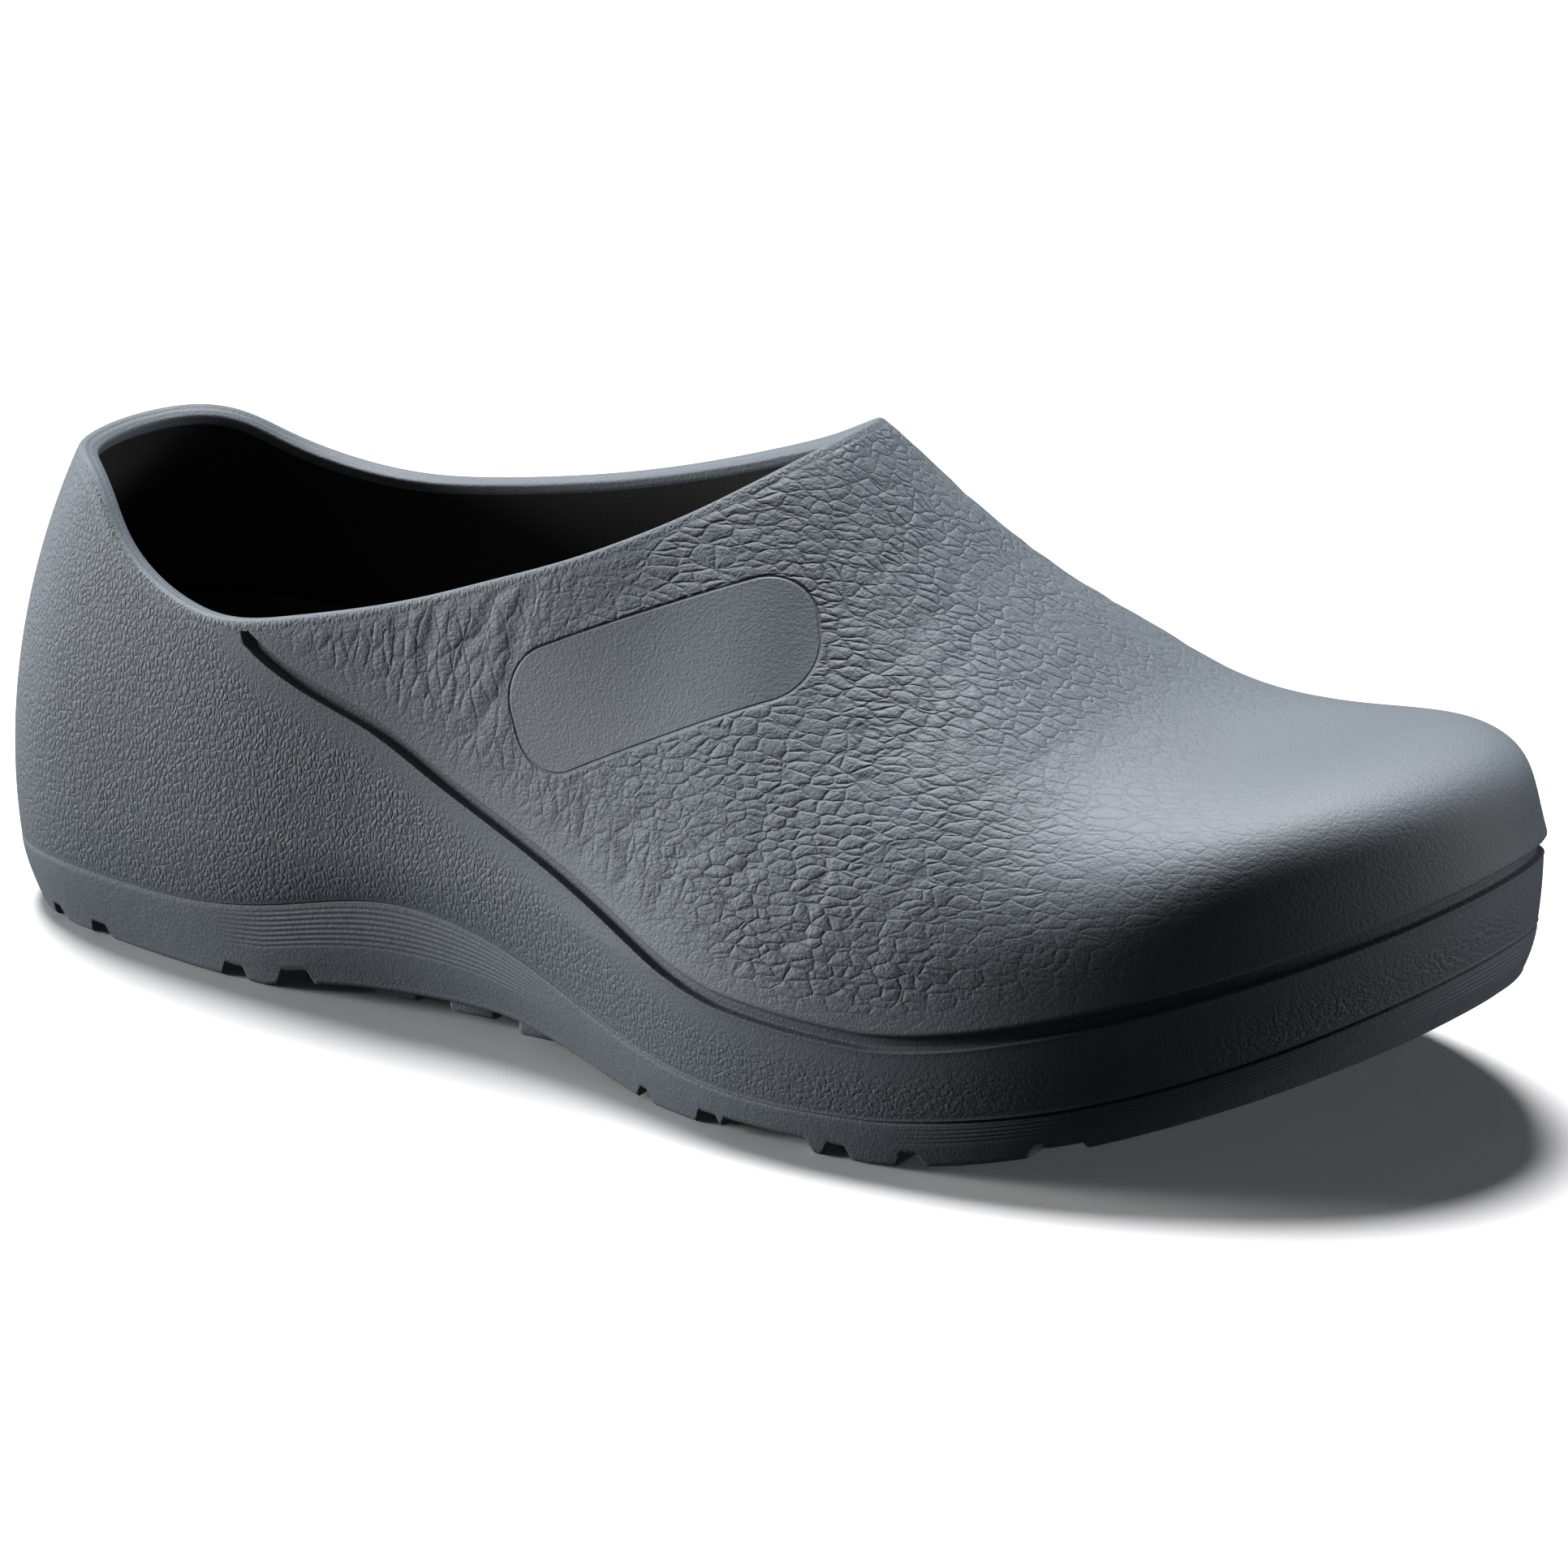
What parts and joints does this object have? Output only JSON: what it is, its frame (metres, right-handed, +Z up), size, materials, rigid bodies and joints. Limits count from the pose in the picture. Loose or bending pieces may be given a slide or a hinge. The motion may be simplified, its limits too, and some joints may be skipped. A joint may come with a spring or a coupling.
{
  "type": "chef clog",
  "caption": "Closed-toe slip-on work clog for the right foot: moulded shell with a high heel counter, arched ribbed outsole with lugs and a loose footbed.",
  "frame": {"origin": "middle of the shoe's length and width, on the floor that it stands on", "axes": "+X from heel to toe, +Y to the inner (medial) side of this right shoe, +Z up"},
  "size_m": [0.3006, 0.1154, 0.1093],
  "materials": {
    "upper": "slate blue-grey moulded polyurethane, matt, with a leather grain",
    "outsole": "slate blue-grey moulded polyurethane, matt, smooth and finely ribbed",
    "insole": "dark grey brushed cover over a moulded foam footbed"
  },
  "bodies": {
    "root": {"upper": "upper", "outsole": "outsole", "insole": "insole"}
  },
  "joints": []
}
